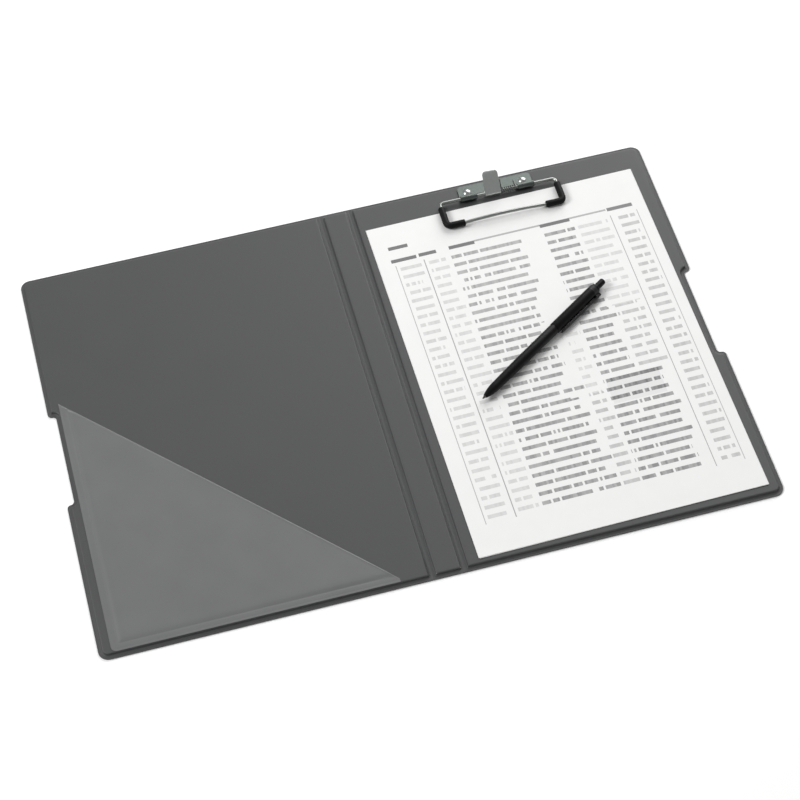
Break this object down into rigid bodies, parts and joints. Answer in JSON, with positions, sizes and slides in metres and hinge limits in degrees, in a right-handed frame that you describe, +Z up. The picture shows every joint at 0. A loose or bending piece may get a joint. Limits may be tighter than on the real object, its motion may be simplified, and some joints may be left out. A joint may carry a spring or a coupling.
{
  "type": "fold-over clipboard",
  "caption": "Open A4 fold-over clipboard: film-covered cover, spine and writing board on film hinges, corner pocket, sprung wire clip, sheets and a push-button pen.",
  "frame": {"origin": "middle of the underside of the open folder", "axes": "+X across the open folder from the cover to the writing board, +Y up the page to the clip, +Z up from the underside to the sheets"},
  "size_m": [0.485, 0.329, 0.0195],
  "materials": {
    "film_inside": "calendered film, fine grain, satin",
    "film_outside": "calendered film, fine grain, satin",
    "pocket_film": "calendered film, smoother and paler than the cover",
    "greyboard": "raw recycled board",
    "plated_steel": "nickel plated",
    "rivet_steel": "nickel plated, domed",
    "spring_steel": "drawn wire",
    "grip_plastic": "moulded, satin black",
    "paper": "uncoated white",
    "pen_plastic": "moulded, black",
    "pen_clip_plastic": "moulded, dark grey",
    "refill_brass": "turned"
  },
  "bodies": {
    "back": {"back_board": "greyboard", "back_inner_skin": "film_inside", "back_outer_skin": "film_outside", "clip_plate": "plated_steel", "rivet_left": "rivet_steel", "rivet_right": "rivet_steel", "lever_spring": "spring_steel"},
    "spine": {"spine_board": "greyboard", "spine_inner_skin": "film_inside", "spine_outer_skin": "film_outside"},
    "cover": {"cover_board": "greyboard", "cover_inner_skin": "film_inside", "cover_outer_skin": "film_outside", "corner_pocket": "pocket_film"},
    "bow": {"wire_bow": "plated_steel", "thumb_lever": "plated_steel", "grip_left": "grip_plastic", "grip_right": "grip_plastic"},
    "sheets": {"paper_sheets": "paper"},
    "pen": {"pen_front_barrel": "pen_plastic", "pen_rear_barrel": "pen_plastic", "pen_clip": "pen_clip_plastic", "pen_spring": "spring_steel"},
    "refill": {"pen_refill": "refill_brass", "pen_button": "pen_plastic"}
  },
  "joints": [
    {"name": "spine_fold", "type": "hinge", "parent": "back", "child": "spine", "pos_m": [0.0114, 0, 0.0003], "axis": [0, 1, 0], "range_deg": [-90, 90]},
    {"name": "cover_fold", "type": "hinge", "parent": "spine", "child": "cover", "pos_m": [-0.0114, 0, 0.0003], "axis": [0, 1, 0], "range_deg": [-90, 90]},
    {"name": "clip_open", "type": "hinge", "parent": "back", "child": "bow", "pos_m": [0.1245, 0.1467, 0.00585], "axis": [-1, 0, 0], "range_deg": [0, 33], "stiffness_Nm_per_rad": 0.1, "springref_deg": -45.84, "deforming": ["lever_spring"]},
    {"name": "sheet_slide", "type": "slide", "parent": "back", "child": "sheets", "axis": [0, -1, 0], "range_m": [0, 0.06]},
    {"name": "pen_slide", "type": "slide", "parent": "sheets", "child": "pen", "axis": [0.831, 0.5563, 0], "range_m": [0, 0.04]},
    {"name": "pen_click", "type": "slide", "parent": "pen", "child": "refill", "axis": [0.831, 0.5563, 0], "range_m": [0, 0.005], "deforming": ["pen_spring"]}
  ]
}
